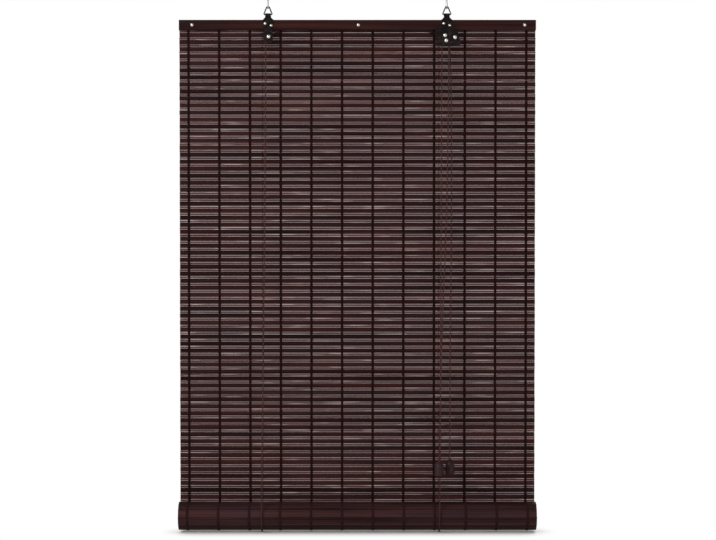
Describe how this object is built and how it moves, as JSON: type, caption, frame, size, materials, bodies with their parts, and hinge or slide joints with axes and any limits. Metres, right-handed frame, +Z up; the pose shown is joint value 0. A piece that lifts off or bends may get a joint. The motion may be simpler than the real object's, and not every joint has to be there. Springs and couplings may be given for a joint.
{
  "type": "bamboo roll up blind",
  "caption": "Woven bamboo slat blind hung from ceiling hooks, with a batten head rail, a roll at the foot, lift cords, a cord lock and wooden tassels.",
  "frame": {"origin": "on the ceiling plane, midway between the two screw hooks", "axes": "+Z up along the hooks' threads, +X to the right across the blind, front towards -Y"},
  "size_m": [0.6, 0.0715, 0.9222],
  "materials": {
    "black_steel": "satin black lacquer",
    "nickel": "bright nickel plate",
    "wire": "zinc plated wire",
    "rail_wood": "dark brown stain, satin",
    "slat_bamboo": "dark brown stained bamboo, satin",
    "reed_bamboo": "dull brown stained reed",
    "rod_wood": "plain stained wood",
    "thread": "twisted dark thread",
    "cord": "braided mauve brown cord",
    "tassel_wood": "turned wood, dark stain",
    "wheel_plastic": "black moulded plastic"
  },
  "bodies": {
    "hangers": {"hook_left": "wire", "hook_right": "wire", "ring_left": "wire", "ring_right": "wire"},
    "head": {"pulley_bracket": "black_steel", "lock_bracket": "black_steel", "lock_front_plate": "black_steel", "bracket_nails": "nickel", "pulley_axle": "nickel", "lock_axles": "nickel", "pinch_post": "wheel_plastic", "front_batten": "rail_wood", "rear_batten": "rail_wood", "rail_rivets": "nickel", "slat_sheet": "slat_bamboo", "reeds": "reed_bamboo", "warp_thread_02": "thread", "warp_thread_03": "thread", "warp_thread_04": "thread", "warp_thread_05": "thread", "warp_thread_06": "thread", "warp_thread_07": "thread", "warp_thread_08": "thread", "warp_thread_09": "thread", "warp_thread_10": "thread", "warp_thread_11": "thread", "left_front_cord": "cord", "right_front_cord": "cord", "left_rear_cord": "cord", "right_rear_cord": "cord", "cross_cord": "cord", "lock_wrap_cord": "cord", "left_pull_cord": "cord", "right_pull_cord": "cord"},
    "pulley_wheel": {"left_pulley": "wheel_plastic"},
    "rear_wheel": {"lock_rear_sheave": "wheel_plastic"},
    "front_wheel": {"lock_front_sheave": "wheel_plastic"},
    "cam": {"pinch_cam": "black_steel"},
    "carriage": {"left_cord_loop": "cord", "right_cord_loop": "cord"},
    "roll": {"rolled_mat": "slat_bamboo", "bottom_rod": "rod_wood"},
    "tassel_a": {"left_tassel": "tassel_wood"},
    "tassel_b": {"right_tassel": "tassel_wood"}
  },
  "joints": [
    {"name": "blind_swing", "type": "hinge", "parent": "hangers", "child": "head", "pos_m": [0, 0, -0.0378], "axis": [1, 0, 0], "range_deg": [-30, 30]},
    {"name": "roll_lift", "type": "slide", "parent": "head", "child": "carriage", "axis": [0, 0, 1], "range_m": [0, 0.729], "deforming": ["slat_sheet", "reeds", "warp_thread_02", "warp_thread_03", "warp_thread_04", "warp_thread_05", "warp_thread_06", "warp_thread_07", "warp_thread_08", "warp_thread_09", "warp_thread_10", "warp_thread_11", "left_front_cord", "right_front_cord", "left_rear_cord", "right_rear_cord"]},
    {"name": "roll_spin", "type": "hinge", "parent": "carriage", "child": "roll", "pos_m": [0, -0.01319, -0.87908], "axis": [1, 0, 0], "range_deg": [-1690, 0]},
    {"name": "left_tassel_pull", "type": "slide", "parent": "head", "child": "tassel_a", "axis": [0, -0.5736, -0.8192], "range_m": [0, 1.458], "deforming": ["left_pull_cord"]},
    {"name": "right_tassel_pull", "type": "slide", "parent": "head", "child": "tassel_b", "axis": [0, -0.5736, -0.8192], "range_m": [0, 1.458], "deforming": ["right_pull_cord"]},
    {"name": "left_pulley_spin", "type": "hinge", "parent": "head", "child": "pulley_wheel", "pos_m": [-0.1491, -0.00054, -0.0745], "axis": [0, 1, 0], "continuous": true},
    {"name": "lock_rear_sheave_spin", "type": "hinge", "parent": "head", "child": "rear_wheel", "pos_m": [0.147, -0.00054, -0.0726], "axis": [0, 1, 0], "continuous": true},
    {"name": "lock_front_sheave_spin", "type": "hinge", "parent": "head", "child": "front_wheel", "pos_m": [0.147, -0.00374, -0.0726], "axis": [0, 1, 0], "continuous": true},
    {"name": "lock_cam_release", "type": "hinge", "parent": "head", "child": "cam", "pos_m": [0.1636, -0.00214, -0.076], "axis": [0, 1, 0], "range_deg": [-35, 0]}
  ],
  "couplings": [
    {"joint": "roll_spin", "follows": "roll_lift", "rad_per_m": -40.241},
    {"joint": "left_tassel_pull", "follows": "roll_lift", "ratio": 2},
    {"joint": "right_tassel_pull", "follows": "roll_lift", "ratio": 2},
    {"joint": "left_pulley_spin", "follows": "roll_lift", "rad_per_m": 400},
    {"joint": "lock_rear_sheave_spin", "follows": "roll_lift", "rad_per_m": 400},
    {"joint": "lock_front_sheave_spin", "follows": "roll_lift", "rad_per_m": 400}
  ]
}
